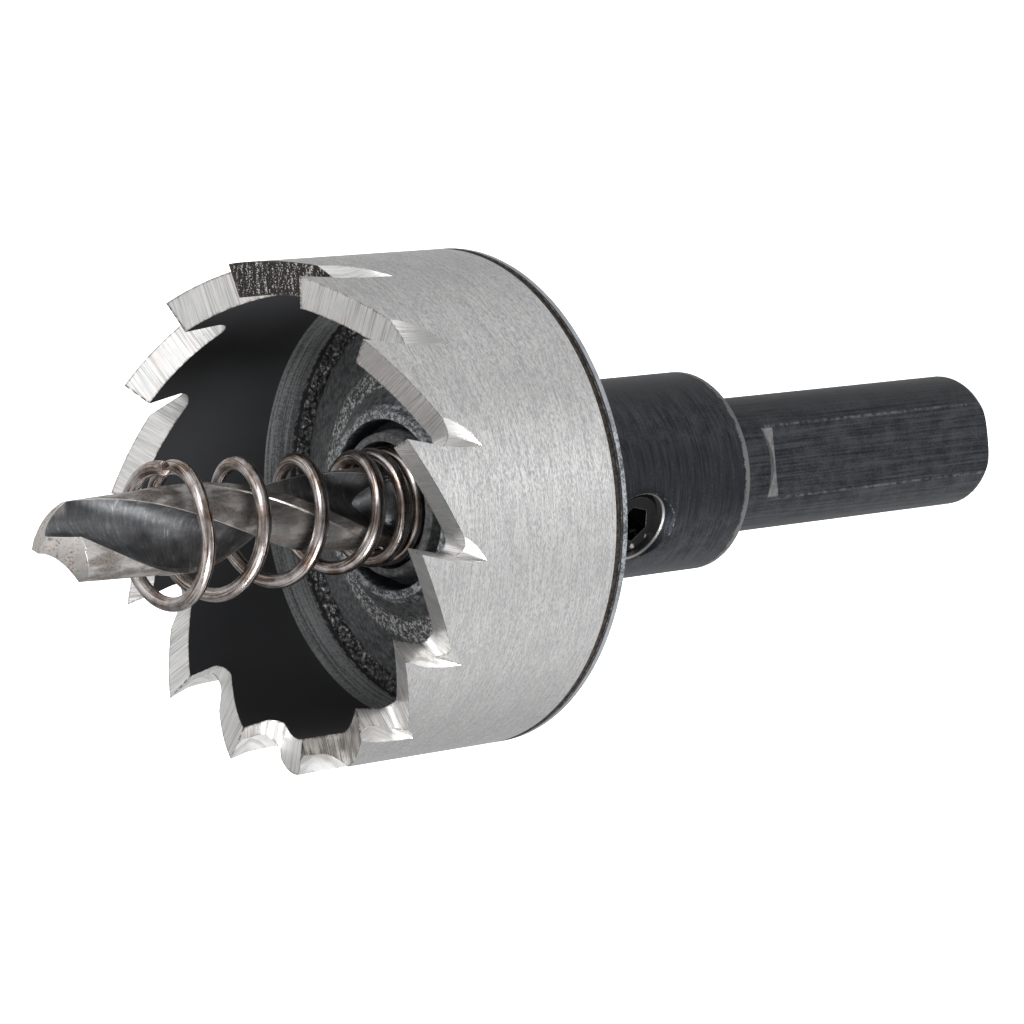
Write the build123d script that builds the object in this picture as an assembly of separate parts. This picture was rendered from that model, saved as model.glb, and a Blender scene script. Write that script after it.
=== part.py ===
"""Hole saw: a toothed ring brazed to a turned arbor, with a pilot drill, its spring and its set screw.

Frame: +Z runs from the shank's end to the drill's point, and the origin is the centre of the shank's end.
Clock angles are seen from the drill's point: 0 is +Y, 90 is +X, and they grow clockwise.
All sizes are in millimetres and degrees.
"""

from build123d import *

import os
from math import asin, cos, degrees, pi, radians, sin, sqrt, tan

# Lengths along the axis
shank_length = 27.85
boss_length = 21.45
cup_height = 18.0
drill_reach = 17.75

# Toothed ring
cup_radius = 17.5
tooth_wall = 2.35
ledge_width = 0.5
ledge_height = 6.0
ledge_drop = 1.4
tooth_count = 14
first_tooth_clock = -6.1
relief_angle = 29.3
hook_angle = 14.0
rake_lean = 6.5
gullet_root_radius = 0.8

# Gash that a second wheel leaves where each gullet meets the outer wall
gash_depth = 1.5
gash_floor_angle = 33.0
gash_wall_angle = 75.0
gash_bulge = 0.02
gash_wheel_radius = 5.6
gash_stop = 2.6
gash_reach = 0.4
gash_drift_angle = 20.0
gash_runout_drift = 10.0

# Faults of the grinding, which held the ring a little off centre and tilted
spacing_error = 2.0
spacing_error_clock = 26.0
gash_depth_error = 0.45
gash_depth_clock = 116.0
gash_stop_error = 0.9
gash_stop_clock = 170.0

# Brazed joint between the ring and the flange
rim_thickness = 0.7
braze_gap = 0.4
braze_film = 0.1
braze_groove = 0.08
bead_size = 0.65
bead_knee_width = 0.22
bead_knee_height = 0.39
rim_chamfer = 0.15

# Arbor: flange, hub, boss and shank, turned and milled from one piece
boss_radius = 7.3
boss_chamfer = 0.5
boss_root_radius = 0.4
shank_radius = 5.0
shank_end_radius = 1.0
shank_neck = 3.9
flat_distance = 4.2
flat_count = 3
flat_clock = 88.0
flat_ramp_angle = 38.0
flat_ramp_hollow = 0.05
floor_edge_height = 3.0
floor_step_radius = 9.9
floor_step_height = 4.6
hub_foot_radius = 8.3
hub_foot_height = 5.25
ridge_foot_radius = 6.75
ridge_foot_height = 6.5
ridge_height = 6.9
ridge_width = 0.6
ridge_radius = 6.6
groove_height = 5.3
groove_outer_radius = 5.75
groove_inner_radius = 5.3
lip_height = 7.1
lip_width = 0.6
lip_chamfer = 0.15
seat_clearance = 0.3
spring_seat_height = 4.8
bore_depth = 17.0
bore_point_angle = 118.0

# Pilot drill
drill_radius = 3.0
drill_fit_clearance = 0.02
drill_end_clearance = 0.3
drill_lead = 39.9
drill_lip_clock = 83.8
drill_point_angle = 128.0
drill_web = 1.28
drill_land_angle = 79.0
margin_angle = 14.0
body_relief = 0.12
heel_relief = 0.3
web_clock = 60.0
lip_straightness = 4.2
land_bulge = 0.03
margin_step_angle = 1.5
flank_angle = 12.0
flank_radius = 5.5
flute_length = 29.1
flute_runout = 4.0
drill_flat_depth = 0.6
drill_flat_length = 8.0

# Ejector spring
wire_diameter = 1.0
spring_play = 0.15
spring_spread = 0.95
rear_pitch = 1.3
rear_turns = 3.0
active_pitch = 5.12
active_turns = 3.2
front_pitch = 0.35
front_turns = 0.83
spring_start_clock = -3.0
spring_lean = 1.0
coil_corner_count = 3
coil_corner_ratio = 0.98

# Set screw
screw_radius = 2.5
screw_thread_clearance = 0.05
screw_length = 4.0
screw_chamfer = 0.35
screw_clock = 118.0
screw_from_flange = 10.7
socket_across_flats = 2.5
socket_depth = 2.0
socket_turn = 15.0
hole_mouth_chamfer = 0.2

# Places that follow from the sizes above
flange_rear = shank_length + boss_length
tip_plane = flange_rear + cup_height
rim_front = flange_rear + rim_thickness
ring_rear = rim_front + braze_gap
mouth_radius = cup_radius - tooth_wall
ring_bore = mouth_radius - ledge_width
spigot_radius = ring_bore - braze_film
wire_radius = wire_diameter / 2
spring_rear_radius = drill_radius + spring_play + wire_radius
seat_radius = spring_rear_radius + wire_radius + seat_clearance
lip_radius = seat_radius + lip_width
seat_floor = flange_rear + spring_seat_height
drill_tip = tip_plane + drill_reach
drill_bore_radius = drill_radius + drill_fit_clearance
bore_bottom = flange_rear - bore_depth
drill_rear = bore_bottom + drill_end_clearance
screw_height = flange_rear - screw_from_flange
drill_flat_distance = drill_radius - drill_flat_depth
screw_face_distance = drill_flat_distance + screw_length


def turned(*corners):
    """Solid of revolution about Z through (radius, height) corners."""
    outline = Polyline(*[(radius, 0, height) for radius, height in corners], close=True)
    return revolve(make_face(outline), Axis.Z)


def at_clock(shape, clock):
    """The shape turned clockwise about Z, seen from the drill's point."""
    return Rot(0, 0, -clock) * shape


def cone_depth(radius, full_angle):
    """Height of a cone of this radius and full point angle."""
    return radius / tan(radians(full_angle / 2))


def tooth_clock(tooth):
    """Clock angle of a tooth's outer tip, whose spacing varies with the fault in centring the ring."""
    even = first_tooth_clock + tooth * 360.0 / tooth_count
    return even + spacing_error * cos(radians(even - spacing_error_clock))


def gullet(spacing):
    """Space in front of the tooth whose outer tip is at the origin, with 12 o'clock along +Y.

    One straight pass of the wheel leaves the tooth's hooked rake face and the relief face of the
    tooth before it, at this spacing in degrees, with a round root between them.
    """
    over = 3.0
    rise = tan(radians(relief_angle))
    lean = tan(radians(hook_angle))
    pitch = radians(spacing)
    side = radians(rake_lean)
    span = cup_radius * (sin(pitch) * cos(side) - (1 - cos(pitch)) * sin(side))
    depth = span * rise / (1 - rise * lean)
    outline = Polyline(
        (-span - over, over * rise),
        (-span - over, 2 * over),
        (-2 * over * lean, 2 * over),
        (depth * lean, -depth),
        close=True,
    )
    face = make_face(Plane.XZ * outline)
    face = fillet(face.vertices().sort_by(Axis.Z)[0], gullet_root_radius)
    reach = 2 * tooth_wall + cup_radius * (1 - cos(pitch))
    prism = extrude(Pos(0, over, 0) * face, amount=over + reach, dir=(0, -1, 0))
    return Rot(0, 0, -rake_lean) * prism


def gash():
    """V along the outer corner of the rake face, which the round wheel runs out of behind its stop."""
    over = 2.0
    height = gash_depth + over
    apex = (0, -gash_depth)
    floor_end = (-height / tan(radians(gash_floor_angle)), over)
    wall_end = (height / tan(radians(gash_wall_angle)), over)
    floor = SagittaArc(apex, floor_end, gash_bulge)
    wall = SagittaArc(wall_end, apex, gash_bulge)
    face = make_face([floor, Line(floor_end, wall_end), wall])
    drift = radians(gash_drift_angle - gash_runout_drift)
    straight = extrude(face, amount=gash_stop + gash_stop_error + over, dir=(-sin(drift), 0, cos(drift)))
    spindle = Axis((0, gash_wheel_radius - gash_depth, 0), (1, 0, 0))
    cutter = straight + revolve(face, spindle, 90)
    return Pos(gash_reach, 0, -gash_stop) * (Rot(0, -gash_runout_drift, 0) * cutter)


def gash_shift(clock):
    """Where the faults of the grinding put the gash of the tooth at this clock angle."""
    outwards = gash_depth_error * cos(radians(clock - gash_depth_clock))
    forwards = gash_stop_error * cos(radians(clock - gash_stop_clock))
    return Pos(0, outwards, forwards)


def cutter_ring():
    """Ring with its teeth and the turned ledge at the root of its bore."""
    ledge_top = flange_rear + ledge_height
    ring = turned(
        (cup_radius, ring_rear),
        (cup_radius, tip_plane),
        (mouth_radius, tip_plane),
        (mouth_radius, ledge_top),
        (ring_bore, ledge_top - ledge_drop),
        (ring_bore, ring_rear),
    )
    outer_tip = Pos(0, cup_radius, tip_plane)
    groove = gash()
    for tooth in range(tooth_count):
        clock = tooth_clock(tooth)
        ring -= at_clock(outer_tip * gullet(clock - tooth_clock(tooth - 1)), clock)
        ring -= at_clock(outer_tip * gash_shift(clock) * groove, clock)
    return ring


def floor_at(radius):
    """Height of the floor's gentle cone, above the flange's rear face, at this radius."""
    slope = (floor_step_height - floor_edge_height) / (spigot_radius - floor_step_radius)
    return floor_edge_height + (spigot_radius - radius) * slope


def braze_joint():
    """Filler metal: the layer under the ring, the film round the spigot and the bead inside."""
    bead_radius = ring_bore - bead_size
    return turned(
        (cup_radius - braze_groove, rim_front),
        (cup_radius - braze_groove, ring_rear),
        (ring_bore, ring_rear),
        (ring_bore, flange_rear + floor_edge_height + bead_size),
        (ring_bore - bead_knee_width, flange_rear + floor_edge_height + bead_knee_height),
        (bead_radius, flange_rear + floor_at(bead_radius)),
        (spigot_radius, flange_rear + floor_edge_height),
        (spigot_radius, rim_front),
    )


def drive_flats():
    """Metal milled off the round shank to leave its flats, each with a hollow ramp at the neck."""
    neck_end = shank_length - shank_neck
    flat_rise = (shank_radius - flat_distance) / tan(radians(flat_ramp_angle))
    over = 2.0
    top = neck_end + over / tan(radians(flat_ramp_angle))
    foot = (flat_distance, 0, neck_end - flat_rise)
    head = (shank_radius + over, 0, top)
    middle = (Vector(foot) + Vector(head)) / 2 + Vector(-flat_ramp_hollow, 0, flat_ramp_hollow)
    outline = [
        Polyline(head, (0, 0, top), (0, 0, -over), (flat_distance, 0, -over), foot),
        ThreePointArc(foot, middle, head),
    ]
    kept = revolve(make_face(outline), Axis.Z)
    block = Box(4 * shank_radius, over, top + over, align=(Align.CENTER, Align.MIN, Align.MIN))
    slab = Pos(0, flat_distance, -over) * block - kept
    return [at_clock(slab, flat_clock + side * 360.0 / flat_count) for side in range(flat_count)]


def circles_at(body, radius, height):
    """The body's round edges of this radius at this height."""
    return [edge for edge in body.edges().filter_by(GeomType.CIRCLE)
            if abs(edge.radius - radius) < 1e-6 and abs(edge.center().Z - height) < 1e-6]


def arbor():
    """Flange that closes the ring, hub with the spring's seat, boss and three-flat shank."""
    lip_top = flange_rear + lip_height
    ridge_top = flange_rear + ridge_height
    body = turned(
        (0, 0),
        (shank_radius, 0),
        (shank_radius, shank_length),
        (boss_radius - boss_chamfer, shank_length),
        (boss_radius, shank_length + boss_chamfer),
        (boss_radius, flange_rear),
        (cup_radius - rim_chamfer, flange_rear),
        (cup_radius, flange_rear + rim_chamfer),
        (cup_radius, rim_front),
        (spigot_radius, rim_front),
        (spigot_radius, flange_rear + floor_edge_height),
        (floor_step_radius, flange_rear + floor_step_height),
        (hub_foot_radius, flange_rear + hub_foot_height),
        (ridge_foot_radius, flange_rear + ridge_foot_height),
        (ridge_radius, ridge_top),
        (ridge_radius - ridge_width, ridge_top),
        (groove_outer_radius, flange_rear + groove_height),
        (groove_inner_radius, flange_rear + groove_height),
        (lip_radius, lip_top - lip_chamfer),
        (lip_radius - lip_chamfer, lip_top),
        (seat_radius, lip_top),
        (seat_radius, seat_floor),
        (drill_bore_radius, seat_floor),
        (drill_bore_radius, bore_bottom),
        (0, bore_bottom - cone_depth(drill_bore_radius, bore_point_angle)),
    )
    body = fillet(circles_at(body, boss_radius, flange_rear), boss_root_radius)
    body = fillet(circles_at(body, shank_radius, 0), shank_end_radius)
    for slab in drive_flats():
        body -= slab
    return body - screw_hole()


def across_boss(shape):
    """The shape, made along +Z from the axis outwards, laid along the set screw's line."""
    return at_clock(Pos(0, 0, screw_height) * (Rot(-90, 0, 0) * shape), screw_clock)


def screw_hole():
    """Tapped hole through the boss wall, at its thread's outer diameter, with a broken edge."""
    radius = screw_radius + screw_thread_clearance
    over = 1.0
    corner = sqrt(boss_radius ** 2 - radius ** 2)
    mouth = corner - hole_mouth_chamfer
    top = boss_radius + over
    hole = turned(
        (0, 0),
        (radius, 0),
        (radius, mouth),
        (radius + top - mouth, top),
        (0, top),
    )
    return across_boss(hole)


def set_screw():
    """Headless screw with a hexagon socket, its flat point on the drill's ground flat."""
    body = turned(
        (0, drill_flat_distance),
        (screw_radius - screw_chamfer, drill_flat_distance),
        (screw_radius, drill_flat_distance + screw_chamfer),
        (screw_radius, screw_face_distance - screw_chamfer),
        (screw_radius - screw_chamfer, screw_face_distance),
        (0, screw_face_distance),
    )
    corner_radius = socket_across_flats / 2 / cos(radians(30))
    hexagon = RegularPolygon(corner_radius, 6, rotation=socket_turn)
    socket = extrude(Pos(0, 0, screw_face_distance - socket_depth) * hexagon, amount=socket_depth)
    return across_boss(body - socket)


def polar(radius, angle):
    """Point at a radius and at an angle from +X towards +Y."""
    return (radius * cos(radians(angle)), radius * sin(radians(angle)))


def drill_section():
    """Cross-section of the fluted length, with the first lip pointing along +X."""
    half_web = drill_web / 2
    lip_angle = degrees(asin(half_web / drill_radius))
    heel_angle = lip_angle + 180 - drill_land_angle
    body_radius = drill_radius - body_relief
    heel_radius = drill_radius - heel_relief
    middle = drill_radius / 2
    lines = []
    for turn in (0, 180):
        corner = polar(drill_radius, lip_angle + turn)
        face_middle = polar(middle, lip_angle + lip_straightness + turn)
        web_point = polar(half_web, web_clock + turn)
        heel = polar(heel_radius, heel_angle + turn)
        back_angle = lip_angle + 180 - margin_angle + turn
        face = ThreePointArc(corner, face_middle, web_point)
        rise = TangentArc(web_point, heel, tangent=face % 1)
        land_radius = (heel_radius + body_radius) / 2 + land_bulge
        land_middle = polar(land_radius, (heel_angle + turn + back_angle) / 2)
        land = ThreePointArc(heel, land_middle, polar(body_radius, back_angle - margin_step_angle))
        step = Line(land @ 1, polar(drill_radius, back_angle))
        margin_middle = polar(drill_radius, back_angle + margin_angle / 2)
        margin = ThreePointArc(step @ 1, margin_middle, polar(drill_radius, lip_angle + 180 + turn))
        lines += [face, rise, land, step, margin]
    return make_face(lines)


def flank_cutter():
    """Everything above one ground flank of the point, whose lip points along +X."""
    half_web = drill_web / 2
    over = 3 * drill_radius
    back = drill_radius + half_web
    slope = radians(flank_angle)
    centre_y = half_web + flank_radius * sin(slope)
    centre_z = -flank_radius * cos(slope)

    def height(distance):
        return centre_z + sqrt(flank_radius ** 2 - (distance + flank_radius * sin(slope)) ** 2)

    lip = (0, half_web, 0)
    end = (0, half_web - back, height(back))
    middle = (0, half_web - back / 2, height(back / 2))
    ahead = (0, half_web + over, over * tan(slope))
    outline = [
        ThreePointArc(lip, middle, end),
        Polyline(end, (0, -over, end[2]), (0, -over, over), (0, half_web + over, over), ahead, lip),
    ]
    face = make_face(outline)
    block = extrude(Pos(-over, 0, -height(half_web)) * face, amount=2 * over, dir=(1, 0, 0))
    return Rot(0, 90 - drill_point_angle / 2, 0) * block


def pilot_drill():
    """Twist drill with two right-hand flutes, a ground point and a flat for the set screw."""
    lip_line_clock = drill_lip_clock + degrees(asin(drill_web / 2 / drill_radius))
    over = 1.0
    flute_rear = drill_tip - flute_length
    corner_drop = cone_depth(drill_radius, drill_point_angle)
    turn_at_rear = (flute_length - corner_drop) * 360.0 / drill_lead
    length = flute_length + over
    section = Pos(0, 0, flute_rear) * drill_section()
    twist = length * 360.0 / drill_lead
    foot = (0, 0, flute_rear)
    fluted = Solid.extrude_linear_with_rotation(section.faces()[0], foot, (0, 0, length), twist)
    drill = at_clock(fluted, lip_line_clock - 90 + turn_at_rear)
    for side in (0, 180):
        drill -= Pos(0, 0, drill_tip) * at_clock(flank_cutter(), lip_line_clock - 90 + side)
    rod = turned(
        (0, drill_rear),
        (drill_radius, drill_rear),
        (drill_radius, flute_rear),
        (drill_web / 3, flute_rear + flute_runout),
        (0, flute_rear + flute_runout),
    )
    drill += rod
    width = 2 * drill_radius
    ground_off = Box(width, width, drill_flat_length, align=(Align.CENTER, Align.MIN, Align.CENTER))
    drill -= at_clock(Pos(0, drill_flat_distance, screw_height) * ground_off, screw_clock)
    return drill


def wire_place(turn, stretches):
    """Radius and height of the wire's middle after this many turns."""
    radius = spring_rear_radius
    height = wire_radius
    for turns, pitch, end_radius in stretches:
        share = min(turn / turns, 1.0)
        radius += (end_radius - radius) * share
        height += turns * pitch * share
        turn = max(turn - turns, 0.0)
    return radius, height


def ejector_spring():
    """Conical wire spring of left-hand turns, closed at its rear, which leans a little on its seat.

    Its path is a few runs a turn, whose corners are rounded so far that only arcs are left to see.
    """
    stretches = (
        (rear_turns, rear_pitch, spring_rear_radius),
        (active_turns, active_pitch, spring_rear_radius + spring_spread),
        (front_turns, front_pitch, spring_rear_radius + spring_spread),
    )
    total = rear_turns + active_turns + front_turns
    steps = round(total * coil_corner_count)
    flatness = cos(pi / steps * total)
    outwards = 2 / (1 - coil_corner_ratio + (1 + coil_corner_ratio) * flatness)
    corners = []
    radii = []
    for place in (0, *(step + 0.5 for step in range(steps)), steps):
        turn = total * place / steps
        radius, height = wire_place(turn, stretches)
        is_end = place in (0, steps)
        corner_radius = radius if is_end else radius * outwards
        along = radians(spring_start_clock + turn * 360)
        corners.append((corner_radius * sin(along), corner_radius * cos(along), height))
        if not is_end:
            radii.append(coil_corner_ratio * corner_radius * flatness)
    path = FilletPolyline(*corners, radius=radii)
    wire = sweep(Plane(origin=path @ 0, z_dir=path % 0) * Circle(wire_radius), path=path)
    tip_up = (spring_rear_radius + wire_diameter) * sin(radians(spring_lean))
    return Pos(0, 0, seat_floor + tip_up) * (Rot(spring_lean, 0, 0) * wire)


def main():
    os.makedirs("parts", exist_ok=True)
    export_step(cutter_ring(), "parts/cutter_ring.step")
    export_step(braze_joint(), "parts/braze_joint.step")
    export_step(arbor(), "parts/arbor.step")
    export_step(pilot_drill(), "parts/pilot_drill.step")
    export_step(ejector_spring(), "parts/ejector_spring.step")
    export_step(set_screw(), "parts/set_screw.step")


if __name__ == "__main__":
    main()
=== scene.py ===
"""Looks of the hole saw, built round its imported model.

Sizes are in metres. +Z runs from the shank's end to the drill's point. Clock angles are seen from the
drill's point: 0 is +Y, 90 is +X, and they grow clockwise. Patterns in the finishes are in millimetres.
"""

import functools
import logging
import math
from dataclasses import dataclass, field
from enum import Enum
from typing import Any, Callable, Mapping, Optional, Sequence, Union

import bmesh
import bpy
from mathutils import Matrix, Vector, noise


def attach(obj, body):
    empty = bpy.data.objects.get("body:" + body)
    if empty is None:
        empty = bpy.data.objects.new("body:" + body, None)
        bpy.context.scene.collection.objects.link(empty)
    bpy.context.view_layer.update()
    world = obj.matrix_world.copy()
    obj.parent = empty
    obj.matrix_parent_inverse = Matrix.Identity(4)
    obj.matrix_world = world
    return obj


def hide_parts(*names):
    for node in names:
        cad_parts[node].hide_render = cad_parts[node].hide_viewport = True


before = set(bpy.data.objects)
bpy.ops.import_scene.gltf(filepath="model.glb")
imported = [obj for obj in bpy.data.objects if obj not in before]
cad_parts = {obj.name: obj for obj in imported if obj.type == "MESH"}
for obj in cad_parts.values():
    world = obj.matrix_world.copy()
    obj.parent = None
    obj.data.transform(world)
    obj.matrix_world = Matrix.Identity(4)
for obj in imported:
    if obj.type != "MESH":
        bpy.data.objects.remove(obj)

MM = 0.001
SAME_PLACE = 0.0005 * MM
NEAR_AXIS = 0.5 * MM
TALL_EDGE = 5.0 * MM
REFINE_PASSES = 2
BEVEL_SAMPLES = 6
GREY_WEIGHTS = (0.33, 0.33, 0.34)
BODY = "root"
Colour = tuple[float, float, float]
Corner = tuple[float, float]
log = logging.getLogger("hole_saw")


class Slot(Enum):
    """Material slots of the record."""

    RING = "ring_steel"
    BRAZE = "braze"
    ARBOR = "arbor_steel"
    DRILL = "drill_steel"
    SPRING = "spring_wire"
    SCREW = "screw_steel"


class Kind(Enum):
    """Node types that the trees use by name."""

    MATH = "ShaderNodeMath"
    VECTOR = "ShaderNodeVectorMath"
    MIX = "ShaderNodeMix"
    RANGE = "ShaderNodeMapRange"
    NOISE = "ShaderNodeTexNoise"
    CELLS = "ShaderNodeTexVoronoi"
    BUMP = "ShaderNodeBump"
    BEVEL = "ShaderNodeBevel"
    COMBINE = "ShaderNodeCombineXYZ"
    SEPARATE = "ShaderNodeSeparateXYZ"


def operator(operation: str, reflected: bool = False) -> Callable[["Value", "Operand"], "Value"]:
    """Makes the method of one operator.

    Args:
        operation: The Math node's operation.
        reflected: True where the plain number stands first.

    Returns:
        The method.
    """

    def apply(self: "Value", other: "Operand") -> "Value":
        """The Math node's result."""
        pair = (other, self) if reflected else (self, other)
        return self.graph.math(operation, *pair)

    return apply


class Value:
    """A socket that takes part in sums as a number does."""

    __add__ = operator("ADD")
    __radd__ = operator("ADD", reflected=True)
    __sub__ = operator("SUBTRACT")
    __rsub__ = operator("SUBTRACT", reflected=True)
    __mul__ = operator("MULTIPLY")
    __rmul__ = operator("MULTIPLY", reflected=True)
    __truediv__ = operator("DIVIDE")
    __rtruediv__ = operator("DIVIDE", reflected=True)
    __pow__ = operator("POWER")

    def __init__(self, graph: "Graph", socket: bpy.types.NodeSocket) -> None:
        """Keeps the graph and the socket."""
        self.graph = graph
        self.socket = socket

    def __abs__(self) -> "Value":
        """Size without sign."""
        return self.graph.math("ABSOLUTE", self)


Operand = Union[Value, float]


class Graph:
    """Builds the nodes of one tree, of a finish or of a shape."""

    def __init__(self, tree: bpy.types.NodeTree) -> None:
        """Keeps the tree."""
        self.tree = tree

    def node(
        self,
        kind: Union[Kind, str],
        values: Optional[Mapping[Union[str, int], Any]] = None,
        settings: Optional[Mapping[str, Any]] = None,
    ) -> bpy.types.Node:
        """Adds a node.

        Args:
            kind: The node's type.
            values: Numbers, colours or links of its sockets, by name or place.
            settings: Properties, such as an operation, which are set first.

        Returns:
            The node.
        """
        node = self.tree.nodes.new(kind.value if isinstance(kind, Kind) else kind)
        for name, setting in (settings or {}).items():
            setattr(node, name, setting)
        for key, value in (values or {}).items():
            self.plug(node.inputs[key], value)
        return node

    def plug(self, socket: bpy.types.NodeSocket, value: Any) -> None:
        """Links a value to a socket, or sets the socket where the value is plain.

        Args:
            socket: The input socket.
            value: A value of this graph, or a plain one.
        """
        if isinstance(value, Value):
            self.tree.links.new(value.socket, socket)
        else:
            socket.default_value = value

    def made(
        self,
        kind: Union[Kind, str],
        values: Optional[Mapping[Union[str, int], Any]] = None,
        settings: Optional[Mapping[str, Any]] = None,
        key: Union[str, int] = 0,
    ) -> Value:
        """Adds a node and takes one output.

        Args:
            kind: The node's type.
            values: Numbers, colours or links of its sockets, by name or place.
            settings: Properties, such as an operation, which are set first.
            key: The output's name or place.

        Returns:
            The output.
        """
        return self.out(self.node(kind, values, settings), key)

    def out(self, node: bpy.types.Node, key: Union[str, int] = 0) -> Value:
        """A node's output as a value."""
        return Value(self, node.outputs[key])

    def math(self, operation: str, *operands: Operand) -> Value:
        """A Math node's result."""
        return self.made(Kind.MATH, dict(enumerate(operands)), {"operation": operation})

    def vector(self, operation: str, *operands: Any) -> Value:
        """A Vector Math node's vector."""
        return self.made(Kind.VECTOR, dict(enumerate(operands)), {"operation": operation}, "Vector")

    def measure(self, operation: str, *operands: Any) -> Value:
        """A Vector Math node's number."""
        return self.made(Kind.VECTOR, dict(enumerate(operands)), {"operation": operation}, "Value")

    def combine(self, x: Operand, y: Operand, z: Operand) -> Value:
        """A vector from three numbers."""
        return self.made(Kind.COMBINE, {0: x, 1: y, 2: z})

    def separate(self, vector: Value) -> list[Value]:
        """The three numbers of a vector."""
        node = self.node(Kind.SEPARATE, {0: vector})
        return [self.out(node, key) for key in range(3)]

    def step(self, value: Operand, start: float, end: float) -> Value:
        """Smooth step from 0 at the start to 1 at the end.

        Args:
            value: What steps.
            start: Value where the step starts. It may be above the end, for a step down.
            end: Value where the step ends.

        Returns:
            The step, from 0 to 1.
        """
        rises = start < end
        limits = {"From Min": min(start, end), "From Max": max(start, end)}
        results = {"To Min": 0.0 if rises else 1.0, "To Max": 1.0 if rises else 0.0}
        settings = {"interpolation_type": "SMOOTHSTEP"}
        return self.made(Kind.RANGE, {"Value": value, **limits, **results}, settings)

    def band(self, value: Operand, low: float, high: float, soft: float) -> Value:
        """1 between low and high, with soft ends of this width."""
        return self.step(value, low - soft, low + soft) * self.step(value, high + soft, high - soft)

    def largest(self, *values: Operand) -> Operand:
        """The largest of some values."""
        return functools.reduce(lambda most, value: self.math("MAXIMUM", most, value), values)

    def mix(self, share: Operand, first: Any, second: Any) -> Value:
        """A colour between two colours."""
        ends = [(*colour, 1.0) if isinstance(colour, tuple) else colour for colour in (first, second)]
        return self.made(Kind.MIX, {0: share, 6: ends[0], 7: ends[1]}, {"data_type": "RGBA"}, 2)

    def lerp(self, share: Operand, first: Operand, second: Operand) -> Value:
        """A number between two numbers."""
        return self.made(Kind.MIX, {0: share, 2: first, 3: second}, {"data_type": "FLOAT"}, 0)


@dataclass(frozen=True)
class Pattern:
    """A noise over a surface, in waves per millimetre, stretched along the axes where it says so."""

    stretch: Optional[tuple[float, float, float]] = None
    scale: float = 1.0
    detail: float = 3.0
    rough: float = 0.55


class Surface(Graph):
    """Tree of one finish, with the places that its patterns use, in millimetres."""

    def __init__(self, name: str) -> None:
        """Makes the material and the values that every finish starts from.

        Args:
            name: The material's name.
        """
        self.material = bpy.data.materials.new(name)
        self.material.use_nodes = True
        super().__init__(self.material.node_tree)
        self.shader = self.tree.nodes["Principled BSDF"]
        own = self.made("ShaderNodeTexCoord", key="Object")
        self.place = self.made(Kind.VECTOR, {0: own, "Scale": 1 / MM}, {"operation": "SCALE"}, "Vector")
        self.x, self.y, self.z = self.separate(self.place)
        self.radius = self.math("SQRT", self.x * self.x + self.y * self.y)
        self.clock = self.math("ARCTAN2", self.x, self.y)
        self.normal = self.made("ShaderNodeNewGeometry", key="Normal")

    def attribute(self, name: str) -> Value:
        """A number that the mesh carries."""
        return self.made("ShaderNodeAttribute", settings={"attribute_name": name}, key="Fac")

    def pattern(self, pattern: Pattern, place: Optional[Sequence[Operand]] = None) -> Value:
        """Adds a pattern's noise.

        Args:
            pattern: The pattern.
            place: Three numbers to take in place of x, y and z.

        Returns:
            The noise, from 0 to 1.
        """
        spot = self.place
        if place:
            spot = self.combine(*(part * factor for part, factor in zip(place, pattern.stretch)))
        elif pattern.stretch:
            spot = self.vector("MULTIPLY", spot, pattern.stretch)
        values = {"Scale": pattern.scale, "Detail": pattern.detail, "Roughness": pattern.rough}
        return self.made(Kind.NOISE, {"Vector": spot, **values})

    def cells(self, scale: float) -> Value:
        """A random number for each small cell, with this many cells per millimetre."""
        colour = self.made(Kind.CELLS, {"Vector": self.place, "Scale": scale}, {"feature": "F1"}, "Color")
        return self.measure("DOT_PRODUCT", colour, GREY_WEIGHTS)

    def edge(self, width: float, start: float, end: float) -> Value:
        """1 along sharp edges, within about this width in metres."""
        turn = self.measure("DOT_PRODUCT", self.rounded(width), self.normal)
        return self.step(1.0 - turn, start, end)

    def bump(self, height: Operand, depth: float, strength: float, normal: Optional[Value] = None) -> Value:
        """Normal bent by a height.

        Args:
            height: From 0 to 1.
            depth: What a height of 1 stands for, in metres.
            strength: Share of the bend.
            normal: The normal that is bent, where it isn't the mesh's own.

        Returns:
            The normal.
        """
        values = {"Height": height, "Distance": depth, "Strength": strength}
        if normal is not None:
            values["Normal"] = normal
        return self.made(Kind.BUMP, values)

    def rounded(self, width: float) -> Value:
        """Normal that rounds sharp edges a little."""
        return self.made(Kind.BEVEL, {"Radius": width}, {"samples": BEVEL_SAMPLES})

    def finish(self, **inputs: Any) -> bpy.types.Material:
        """Sets the shader's sockets.

        Args:
            inputs: Values by socket name, with _ for a space.

        Returns:
            The material.
        """
        for name, value in inputs.items():
            self.plug(self.shader.inputs[name.replace("_", " ").title().replace("Ior", "IOR")], value)
        return self.material


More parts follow.
